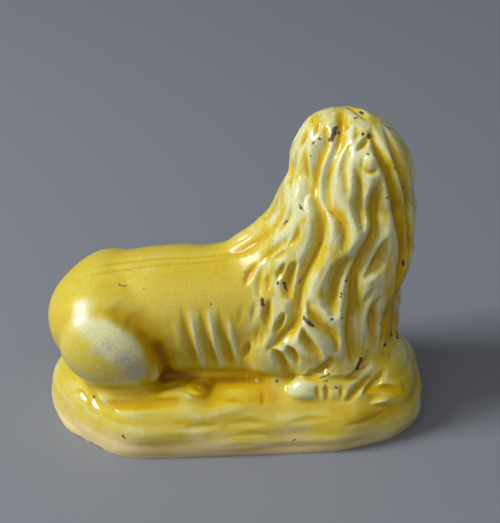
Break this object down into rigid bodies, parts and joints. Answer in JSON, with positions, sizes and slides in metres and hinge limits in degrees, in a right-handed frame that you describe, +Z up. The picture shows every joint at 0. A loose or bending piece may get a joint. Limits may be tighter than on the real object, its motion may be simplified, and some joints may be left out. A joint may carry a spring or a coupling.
{
  "type": "lion figurine",
  "caption": "Glazed pearlware lion lying on an oval rocky base, with a long wavy mane and its head turned to its left.",
  "frame": {"origin": "middle of the base's flat underside", "axes": "+X from the lion's rump to its chest, +Y to the lion's left, the side its head is turned to, +Z up"},
  "size_m": [0.0966, 0.0528, 0.0812],
  "materials": {
    "yellow_glaze": "glossy translucent yellow lead glaze over pale earthenware, amber where it pools, worn pale on the ridges"
  },
  "bodies": {
    "root": {"pearlware_lion": "yellow_glaze"}
  },
  "joints": []
}
